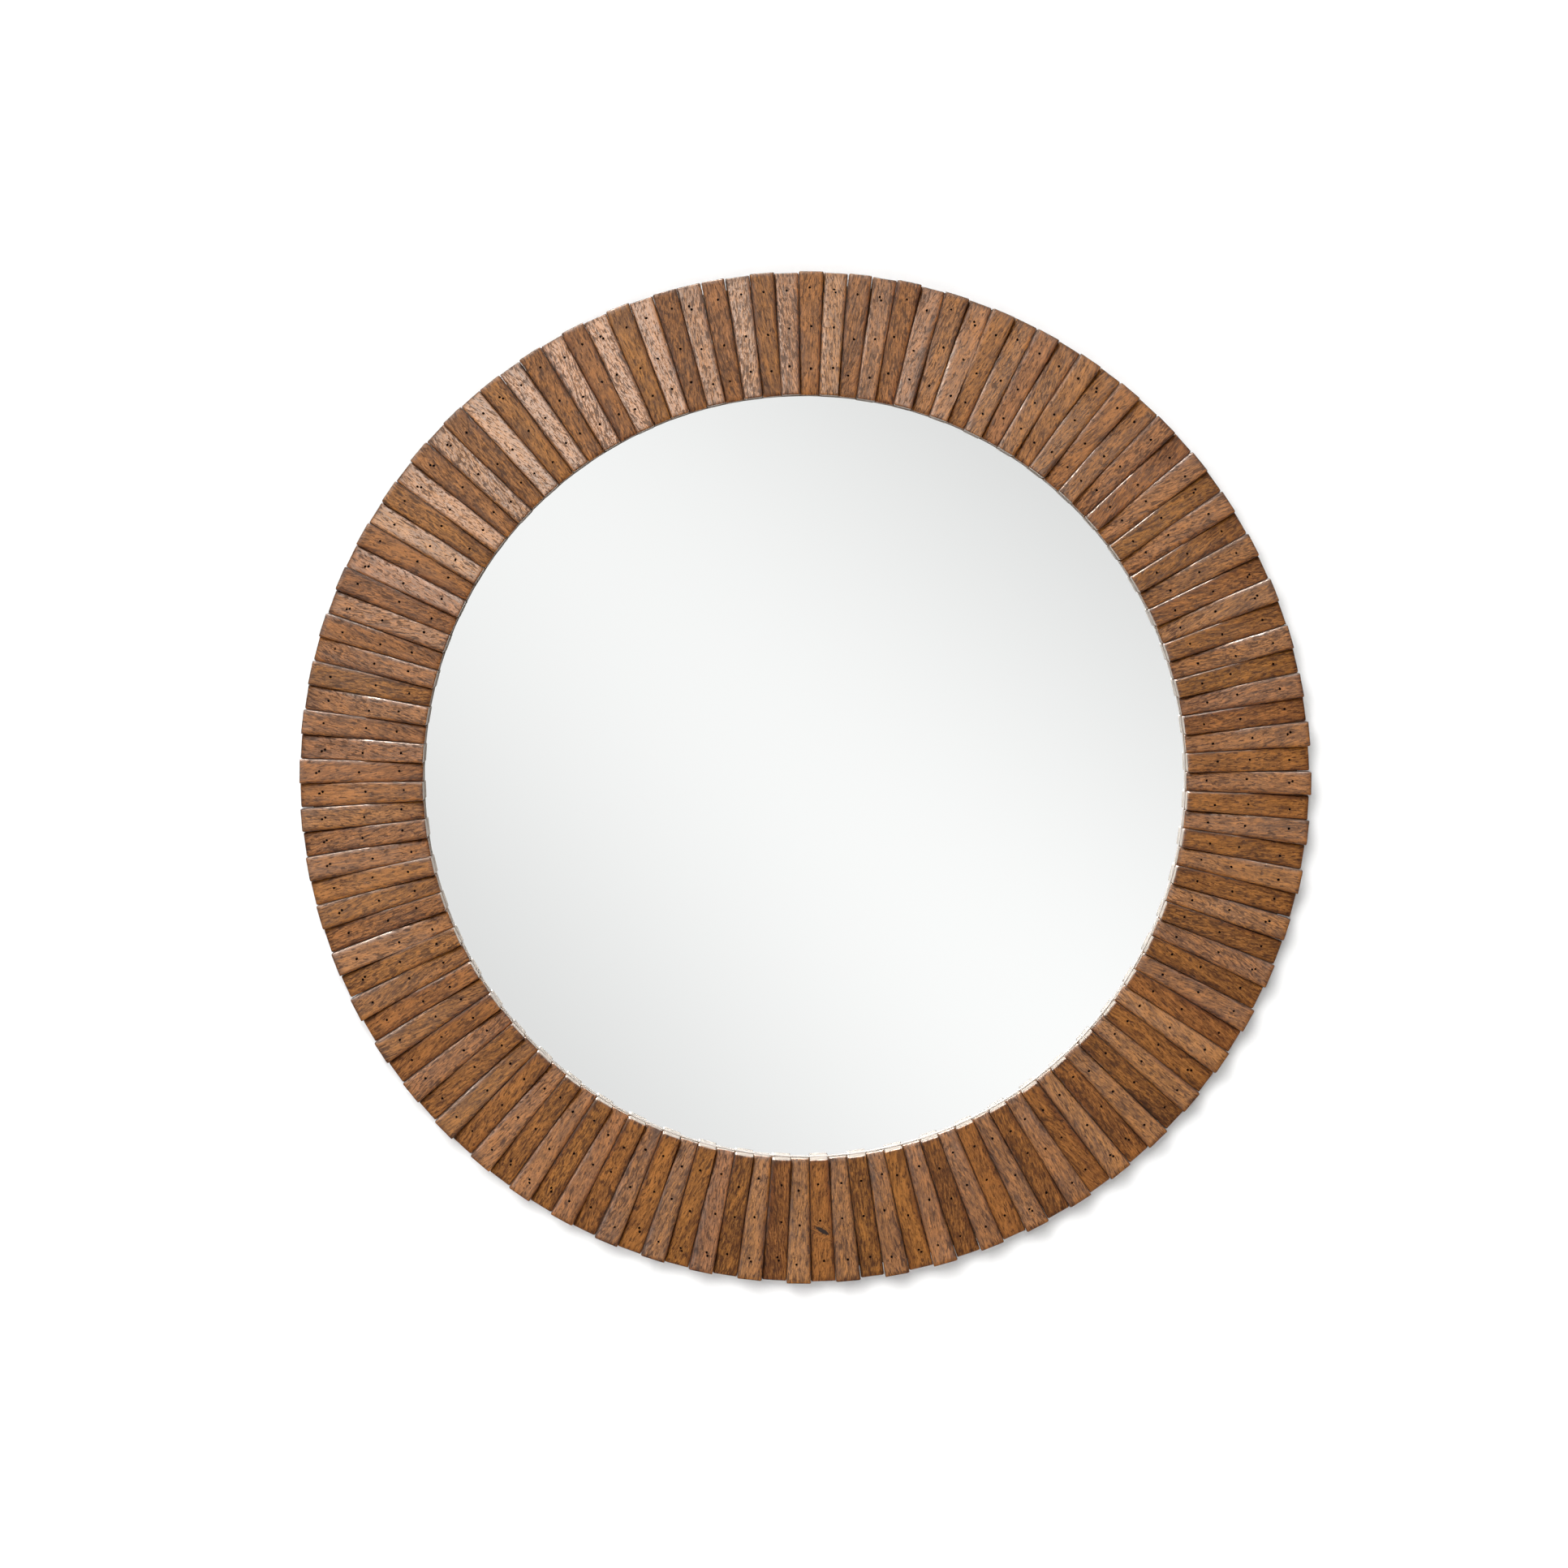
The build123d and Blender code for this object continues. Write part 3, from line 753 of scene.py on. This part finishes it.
def slat_tree(wood, end_wood):
    """A stretch of the ring of slats of one kind, every other place, each slat a little different."""
    tree, given = new_geometry_tree("slats_round_the_glass", [
        ("Slat one", "Object"), ("Slat two", "Object"), ("Slat three", "Object"),
        ("Slat count", "Int"), ("First place", "Int"), ("Pitch", "Float"), ("First joint", "Float"),
        ("Seed", "Int"),
    ])
    points = step(tree, "GeometryNodePoints", {"Count": given["Slat count"]})
    index = step(tree, "GeometryNodeInputIndex")
    number = calc(tree, "MULTIPLY_ADD", index, 2.0, given["First place"])
    middle = calc(tree, "ADD", number, 0.5)
    angle = calc(tree, "MULTIPLY_ADD", middle, given["Pitch"], given["First joint"])
    points = stored(tree, points, "slat_number", number, "FLOAT")
    points = stored(tree, points, "turn", angle, "FLOAT")
    choices = tree.nodes.new("GeometryNodeJoinGeometry")
    for label in ("Slat one", "Slat two", "Slat three"):
        slat = step(tree, "GeometryNodeObjectInfo", {"Object": given[label], "As Instance": True},
                    out="Geometry")
        tree.links.new(slat, choices.inputs[0])
    whole = step(tree, "FunctionNodeFloatToInt", {0: number})
    choice = step(tree, "FunctionNodeRandomValue",
                  {"Min": 0, "Max": 2, "ID": whole, "Seed": given["Seed"]}, out="Value", data_type="INT")
    turn = step(tree, "FunctionNodeEulerToRotation",
                {0: step(tree, "ShaderNodeCombineXYZ", {1: named(tree, "turn", "FLOAT")})})
    slats = step(tree, "GeometryNodeInstanceOnPoints", {
        "Points": points, "Instance": choices.outputs[0], "Pick Instance": True,
        "Instance Index": choice, "Rotation": turn,
    })
    slats = step(tree, "GeometryNodeRealizeInstances", {"Geometry": slats})

    position = step(tree, "GeometryNodeInputPosition")
    turn_angle = named(tree, "turn", "FLOAT")
    slat_number = named(tree, "slat_number", "FLOAT")
    back_angle = calc(tree, "MULTIPLY", turn_angle, -1.0)
    local = turned_about_y(tree, position, back_angle)
    whole = step(tree, "FunctionNodeFloatToInt", {0: slat_number})
    slant = random_number(tree, whole, calc(tree, "ADD", given["Seed"], 8), -grain_slant, grain_slant)
    far = step(tree, "FunctionNodeRandomValue", {
        "Min": (0, 0, 0), "Max": (grain_reach, grain_reach, grain_reach),
        "ID": whole, "Seed": calc(tree, "ADD", given["Seed"], 9),
    }, out="Value", data_type="FLOAT_VECTOR")
    grain = vector_calc(tree, "ADD", turned_about_y(tree, local, slant), far)
    slats = stored(tree, slats, "grain", grain, "FLOAT_VECTOR")
    offset = slat_offset(tree, local, slat_number, given["Seed"])
    offset = turned_about_y(tree, offset, turn_angle)
    slats = step(tree, "GeometryNodeSetPosition", {"Geometry": slats, "Offset": offset})

    slats = step(tree, "GeometryNodeSetShadeSmooth", {"Geometry": slats, "Shade Smooth": True})
    edge_angle = step(tree, "GeometryNodeInputMeshEdgeAngle")
    blunt = calc(tree, "LESS_THAN", edge_angle, smooth_below)
    slats = step(tree, "GeometryNodeSetShadeSmooth", {"Geometry": slats, "Shade Smooth": blunt},
                 domain="EDGE")
    slats = step(tree, "GeometryNodeSetMaterial", {"Geometry": slats, "Material": wood})
    slats = step(tree, "GeometryNodeSetMaterial", {
        "Geometry": slats, "Selection": named(tree, "inner_end", "BOOLEAN"), "Material": end_wood})
    step(tree, "NodeGroupOutput", {"Geometry": slats})
    return tree


# Slats

def make_slats():
    """All the slats, a piece for each group of four of one kind, as in the part."""
    tree = slat_tree(stained_wood(), pale_end_wood())
    kinds = {
        "inner_high": (slat_thin_end, slat_thick_end, 0),
        "outer_high": (slat_thick_end, slat_thin_end, 1),
    }
    for kind, (outer_height, inner_height, place_in_pair) in kinds.items():
        bases = [
            base_slat(f"base_{kind}_{i}", outer_height, inner_height, places)
            for i, places in enumerate(nail_patterns)
        ]
        for group in range(group_count):
            label = f"{group + 1:02d}"
            piece = grow(f"worn_{kind}_slats_{label}", tree, {
                "Slat one": bases[0], "Slat two": bases[1], "Slat three": bases[2],
                "Slat count": slats_per_group,
                "First place": group * slats_per_group * 2 + place_in_pair,
                "Pitch": slat_pitch, "First joint": first_joint, "Seed": wear_seed,
            })
            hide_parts(f"{kind}_slats_{label}")
            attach(piece, "frame")
        for base in bases:
            bpy.data.objects.remove(base)


# Hardware behind

def hanger_axis(side):
    """The middle of a D-ring's bar."""
    x = side * hanger_circle_r * math.sin(hanger_clock)
    return Vector((x, hanger_axis_y, hanger_circle_r * math.cos(hanger_clock)))


def smooth_d_ring(name, side, material):
    """A round steel wire bent to a D, leaning on the carrier ring."""
    corner_x = leg_half_spacing - bar_corner_r
    outline = []
    for centre_x, centre_z, radius, start, end, steps in (
        (corner_x, bar_corner_r, bar_corner_r, -90, 0, 8),
        (0.0, leg_height, leg_half_spacing, 0, 180, 40),
        (-corner_x, bar_corner_r, bar_corner_r, 180, 270, 8),
    ):
        for i in range(steps + 1):
            angle = math.radians(start + (end - start) * i / steps)
            outline.append((centre_x + radius * math.cos(angle), 0.0, centre_z + radius * math.sin(angle)))
    curve = bpy.data.curves.new(name + "_wire", "CURVE")
    curve.dimensions = "3D"
    curve.bevel_depth = wire_r
    curve.bevel_resolution = 5
    spline = curve.splines.new("POLY")
    spline.points.add(len(outline) - 1)
    for point, place in zip(spline.points, outline):
        point.co = (*place, 1.0)
    spline.use_cyclic_u = True
    wire = link(name + "_wire", curve)
    graph = bpy.context.evaluated_depsgraph_get()
    mesh = bpy.data.meshes.new_from_object(wire.evaluated_get(graph))
    bpy.data.objects.remove(wire)
    mesh.transform(Matrix.Translation(hanger_axis(side)) @ Matrix.Rotation(ring_lean, 4, "X"))
    mesh.polygons.foreach_set("use_smooth", [True] * len(mesh.polygons))
    ring = link(name, mesh)
    give_material(ring, material)
    return ring


def lathe(profile, sides):
    """A closed solid turned about Y from a profile of radius and y, whose ends lie on the axis."""
    turned = bmesh.new()
    rings = []
    for radius, y in profile:
        if radius == 0:
            rings.append([turned.verts.new((0, y, 0))])
            continue
        ring = []
        for i in range(sides):
            angle = 2 * math.pi * i / sides
            ring.append(turned.verts.new((radius * math.cos(angle), y, radius * math.sin(angle))))
        rings.append(ring)
    for first, second in zip(rings, rings[1:]):
        for i in range(sides):
            corners = [first[i % len(first)], first[(i + 1) % len(first)],
                       second[(i + 1) % len(second)], second[i % len(second)]]
            turned.faces.new(list(dict.fromkeys(corners)))
    bmesh.ops.recalc_face_normals(turned, faces=turned.faces)
    return turned


def base_screw(name, head_r, head_height, shank_r, shank_length):
    """A pan head screw with a cross recess, its head's underside at y 0 and its point in the frame."""
    crown = head_height * 0.45
    profile = [(0.0, head_height), (head_r * 0.45, head_height * 0.98), (head_r * 0.78, head_height * 0.86),
               (head_r * 0.95, crown * 1.25), (head_r, crown * 0.7), (head_r, head_chamfer),
               (head_r - head_chamfer, 0.0), (shank_r, 0.0)]
    turns = int((shank_length - thread_short_of_end) / thread_pitch)
    for i in range(turns):
        start = -i * thread_pitch - thread_start
        profile += [(shank_r * 0.78, start), (shank_r, start - thread_pitch * 0.45)]
    profile += [(shank_r * 0.7, -shank_length + screw_point), (0.0, -shank_length)]
    solid = lathe(profile, 24)
    mesh = bpy.data.meshes.new(name)
    solid.to_mesh(mesh)
    solid.free()
    screw = link(name, mesh)
    cross = bmesh.new()
    for angle in (0, 90):
        arm = Matrix.Diagonal((head_r * 1.15, head_height * 1.1, head_r * 0.2, 1.0))
        turn = Matrix.Rotation(math.radians(angle), 4, "Y")
        matrix = Matrix.Translation((0, head_height, 0)) @ turn @ arm
        bmesh.ops.create_cube(cross, size=1.0, matrix=matrix)
    cross_mesh = bpy.data.meshes.new(name + "_cross")
    cross.to_mesh(cross_mesh)
    cross.free()
    cutter = link(name + "_cross", cross_mesh)
    cut = screw.modifiers.new("recess", "BOOLEAN")
    cut.object = cutter
    cut.operation = "DIFFERENCE"
    cut.solver = "EXACT"
    cut.use_self = True
    graph = bpy.context.evaluated_depsgraph_get()
    cut_mesh = bpy.data.meshes.new_from_object(screw.evaluated_get(graph))
    screw.modifiers.clear()
    screw.data = cut_mesh
    bpy.data.objects.remove(cutter)
    return screw


def copies_tree(name, material, placing):
    """A tree that sets copies of one object at places, each turned about its own axis by chance."""
    tree, given = new_geometry_tree(name, [
        ("Copy", "Object"), ("Copy count", "Int"), ("Radius", "Float"), ("First clock", "Float"),
        ("Clock pitch", "Float"), ("Start", "Vector"), ("Spacing", "Vector"), ("Turn range", "Float"),
        ("Seed", "Int"),
    ])
    points = step(tree, "GeometryNodePoints", {"Count": given["Copy count"]})
    index = step(tree, "GeometryNodeInputIndex")
    place = placing(tree, given, index)
    points = step(tree, "GeometryNodeSetPosition", {"Geometry": points, "Position": place})
    half = calc(tree, "MULTIPLY", given["Turn range"], 0.5)
    spin = step(tree, "FunctionNodeRandomValue", {
        "Min": calc(tree, "MULTIPLY", half, -1.0), "Max": half, "Seed": given["Seed"],
    }, out="Value", data_type="FLOAT")
    turn = step(tree, "FunctionNodeEulerToRotation", {0: step(tree, "ShaderNodeCombineXYZ", {1: spin})})
    copy = step(tree, "GeometryNodeObjectInfo", {"Object": given["Copy"]}, out="Geometry")
    copies = step(tree, "GeometryNodeInstanceOnPoints",
                  {"Points": points, "Instance": copy, "Rotation": turn})
    copies = step(tree, "GeometryNodeRealizeInstances", {"Geometry": copies})
    copies = step(tree, "GeometryNodeSetMaterial", {"Geometry": copies, "Material": material})
    step(tree, "NodeGroupOutput", {"Geometry": copies})
    return tree


def round_places(tree, given, index):
    """Places round a circle, from a first clock angle."""
    clock = calc(tree, "MULTIPLY_ADD", index, given["Clock pitch"], given["First clock"])
    x = calc(tree, "MULTIPLY", calc(tree, "SINE", clock), given["Radius"])
    z = calc(tree, "MULTIPLY", calc(tree, "COSINE", clock), given["Radius"])
    return vector_calc(tree, "ADD", step(tree, "ShaderNodeCombineXYZ", {0: x, 2: z}), given["Start"])


def row_places(tree, given, index):
    """Places in a row, from a start."""
    every = step(tree, "ShaderNodeCombineXYZ", {0: index, 1: index, 2: index})
    return vector_calc(tree, "ADD", vector_calc(tree, "MULTIPLY", every, given["Spacing"]), given["Start"])


def smooth_by_angle(obj, degrees):
    """Smooth shading, sharp where faces meet at more than an angle."""
    mesh = obj.data
    mesh.polygons.foreach_set("use_smooth", [True] * len(mesh.polygons))
    mesh.set_sharp_from_angle(angle=math.radians(degrees))


def joined(name, parts):
    """Several plain objects as one."""
    whole = bmesh.new()
    for part in parts:
        whole.from_mesh(part.data)
    mesh = bpy.data.meshes.new(name)
    whole.to_mesh(mesh)
    whole.free()
    mesh.materials.append(parts[0].data.materials[0])
    for part in parts:
        bpy.data.objects.remove(part)
    return link(name, mesh)


def make_screws(material):
    """The board's screws and the hangers' screws."""
    ring_tree = copies_tree("copies_round_a_circle", material, round_places)
    row_tree = copies_tree("copies_in_a_row", material, row_places)
    base = base_screw("base_board_screw", board_screw_head_r, board_screw_head_height,
                      board_screw_shank_r, board_screw_length)
    board = grow("pan_head_board_screws", ring_tree, {
        "Copy": base, "Copy count": board_screw_count, "Radius": board_screw_circle_r,
        "First clock": board_screw_first_clock, "Clock pitch": math.radians(360 / board_screw_count),
        "Start": (0, board_back_y, 0), "Turn range": math.pi, "Seed": 3,
    })
    bpy.data.objects.remove(base)
    base = base_screw("base_hanger_screw", hanger_screw_head_r, hanger_screw_head_height,
                      hanger_screw_shank_r, hanger_screw_length)
    rows = []
    for side, seed in ((-1, 4), (1, 6)):
        axis = hanger_axis(side)
        start = (axis.x, strap_top_y, axis.z - hanger_screw_drops[0])
        rows.append(grow(f"hanger_screw_row_{seed}", row_tree, {
            "Copy": base, "Copy count": len(hanger_screw_drops), "Start": start,
            "Spacing": (0, 0, hanger_screw_drops[0] - hanger_screw_drops[1]),
            "Turn range": math.pi, "Seed": seed,
        }))
    bpy.data.objects.remove(base)
    hanger = joined("pan_head_hanger_screws", rows)
    for piece, node in ((board, "board_screws"), (hanger, "hanger_screws")):
        smooth_by_angle(piece, 35)
        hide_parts(node)
        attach(piece, "frame")


def make_bumpers(material):
    """Four rubber bumpers with a soft edge and a shallow dimple."""
    tree = copies_tree("bumpers_round_a_circle", material, round_places)
    edge = bumper_edge_r
    edge_steps = 4
    profile = [(0.0, -bumper_thick), (bumper_r, -bumper_thick), (bumper_r, -edge)]
    for i in range(1, edge_steps + 1):
        angle = math.radians(90 * i / edge_steps)
        profile.append((bumper_r - edge * (1 - math.cos(angle)), -edge + edge * math.sin(angle)))
    profile += [(bumper_r * 0.35, 0.0), (bumper_r * 0.26, -0.5 * mm), (0.0, -bumper_dimple)]
    solid = lathe(profile, 48)
    mesh = bpy.data.meshes.new("base_bumper")
    solid.to_mesh(mesh)
    solid.free()
    base = link("base_bumper", mesh)
    for name, clock in bumper_clocks.items():
        piece = grow(f"soft_{name}_bumper", tree, {
            "Copy": base, "Copy count": 1, "Radius": bumper_circle_r, "First clock": math.radians(clock),
            "Turn range": 0.0, "Seed": 1,
        })
        smooth_by_angle(piece, 40)
        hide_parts(f"{name}_bumper")
        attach(piece, "frame")
    bpy.data.objects.remove(base)


def make_hardware():
    """The D-rings, screws and bumpers, and the CAD pieces' materials."""
    strap_steel = plated_steel("zinc_plated_strap", rgb(0.42, 0.42, 0.41), rgb(0.66, 0.66, 0.64), 0.24)
    wire_steel = plated_steel("nickel_plated_wire", rgb(0.50, 0.49, 0.47), rgb(0.74, 0.73, 0.71), 0.12)
    screw_steel = plated_steel("zinc_plated_screw", rgb(0.44, 0.42, 0.36), rgb(0.70, 0.67, 0.58), 0.2)
    for name, side in (("left", -1), ("right", 1)):
        ring = smooth_d_ring(f"round_wire_{name}_d_ring", side, wire_steel)
        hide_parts(f"{name}_d_ring")
        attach(ring, f"{name}_ring")
        give_material(nodes[f"{name}_hanger_strap"], strap_steel)
    make_screws(screw_steel)
    make_bumpers(soft_rubber())
    give_material(nodes["carrier_ring"], fibreboard())
    give_material(nodes["mirror_glass"], silvered_glass())
    give_material(nodes["spacer_sheet"], grey_card())
    give_material(nodes["backing_board"], hardboard())


# Camera, light and stage

# The photograph's width and the point that the camera faces in it, in pixels from its top left
photo_width = 1932
principal_x, principal_y = 890, 685
# The camera's place in metres, and its sensor's width and lens in millimetres
camera_place = (-0.0747, -3.9, 0.1998)
camera_sensor = 36.0
camera_lens = 98.2
# The bright band that the glass shows, by parts of a direction, with its glow and the glow beside it
band_offset = 0.022
band_half_width = 0.16
band_glow = 0.97
off_band_glow = 0.60
# Along the band the glow rises by a little from its upper left to its lower right
rise_from, rise_to = -0.15, 0.25
rise_glow = 0.1
rise_low = 0.04
# Away from the front the glow drops to a share, small at the lower right and larger at the upper left
front_edge, aside_edge = -0.96, -0.7
lower_right, upper_left = -0.3, 0.4
lower_right_share, upper_left_share = 0.03, 0.55
# The fill that matt things get
fill_strength = 0.27
# The room, in metres
room_reach = 6.0
room_top = 4.0
floor_z = -1.3
wall_y = 0.4 * mm


def make_camera():
    """The photograph's camera: level and square to the wall, a little left of and above the axis."""
    camera = bpy.data.objects.new("camera", bpy.data.cameras.new("camera"))
    scene.collection.objects.link(camera)
    camera.location = camera_place
    camera.rotation_euler = Euler((math.radians(90), 0, 0))
    camera.data.sensor_width = camera_sensor
    camera.data.lens = camera_lens
    camera.data.shift_x = (photo_width / 2 - principal_x) / photo_width
    camera.data.shift_y = -(photo_width / 2 - principal_y) / photo_width
    scene.camera = camera


def make_lamp(name, place, size, power, on_matt=True, on_shiny=True):
    """A round softbox that faces the mirror, and which kinds of surface it lights."""
    lamp = bpy.data.lights.new(name, "AREA")
    lamp.shape = "DISK"
    lamp.size = size
    lamp.energy = power
    obj = bpy.data.objects.new(name, lamp)
    scene.collection.objects.link(obj)
    obj.location = place
    obj.rotation_euler = (-Vector(place)).to_track_quat("-Z", "Y").to_euler()
    obj.visible_diffuse = on_matt
    obj.visible_glossy = on_shiny


def make_world():
    """Soft fill all round. Shiny things see a slanting bright band in front and a dimmer room round it."""
    world = bpy.data.worlds.new("studio")
    scene.world = world
    world.use_nodes = True
    tree = world.node_tree
    tree.nodes.clear()
    direction = step(tree, "ShaderNodeTexCoord", out="Generated")
    x, y, z = split(tree, direction)
    slant = calc(tree, "MULTIPLY", calc(tree, "ADD", x, z), math.sqrt(0.5))
    off_band = calc(tree, "ABSOLUTE", calc(tree, "ADD", slant, band_offset))
    glow = between(tree, off_band, 0.0, band_half_width, band_glow, off_band_glow)
    along_band = calc(tree, "MULTIPLY", calc(tree, "SUBTRACT", x, z), math.sqrt(0.5))
    rise = between(tree, along_band, rise_from, rise_to)
    glow = calc(tree, "MULTIPLY_ADD", rise, rise_glow, calc(tree, "SUBTRACT", glow, rise_low))
    to_upper_left = calc(tree, "SUBTRACT", calc(tree, "MULTIPLY", z, 0.5), x)
    aside_share = between(tree, to_upper_left, lower_right, upper_left, lower_right_share, upper_left_share)
    share = between(tree, y, front_edge, aside_edge, 1.0, aside_share)
    glow = calc(tree, "MULTIPLY", glow, share)
    glow = step(tree, "ShaderNodeCombineXYZ", {0: glow, 1: glow, 2: glow})
    studio = step(tree, "ShaderNodeBackground", {"Color": glow})
    fill = step(tree, "ShaderNodeBackground", {"Color": rgb(1.0, 0.985, 0.97), "Strength": fill_strength})
    white = step(tree, "ShaderNodeBackground", {"Color": rgb(1.0, 1.0, 1.0)})
    path = tree.nodes.new("ShaderNodeLightPath")
    shiny = calc(tree, "MAXIMUM", path.outputs["Is Glossy Ray"], path.outputs["Is Transmission Ray"])
    seen = step(tree, "ShaderNodeMixShader", {0: shiny, 1: fill, 2: studio})
    seen = step(tree, "ShaderNodeMixShader", {0: path.outputs["Is Camera Ray"], 1: seen, 2: white})
    step(tree, "ShaderNodeOutputWorld", {"Surface": seen})


def flat_sheet(name, corners, material):
    """One large flat face."""
    mesh = bpy.data.meshes.new(name)
    mesh.from_pydata(corners, [], [(0, 1, 2, 3)])
    sheet = link(name, mesh)
    give_material(sheet, material)
    return sheet


def make_stage():
    """The white wall that the mirror hangs on and a floor below."""
    reach = room_reach
    wall = flat_sheet("wall", [
        (-reach, wall_y, floor_z),
        (reach, wall_y, floor_z),
        (reach, wall_y, room_top),
        (-reach, wall_y, room_top),
    ], plain_white("white_wall", True))
    wall.visible_shadow = False
    wall.visible_diffuse = False
    flat_sheet("floor", [
        (-reach, -reach, floor_z),
        (reach, -reach, floor_z),
        (reach, reach, floor_z),
        (-reach, reach, floor_z),
    ], plain_white("pale_floor", False))


make_slats()
make_hardware()
make_camera()
make_world()
# Each softbox's place and width are in metres and its power in watts
make_lamp("key_softbox", (-1.3, -7.45, 2.5), 3.4, 535, on_shiny=False)
make_lamp("sheen_softbox", (-0.816, -3.71, 1.257), 1.0, 640, on_matt=False)
make_lamp("edge_softbox", (-0.7, -1.5, 3.1), 1.8, 1050, on_matt=False)
make_lamp("back_softbox", (-1.2, 2.6, 1.4), 1.4, 60)
make_stage()
scene.view_settings.view_transform = "Standard"
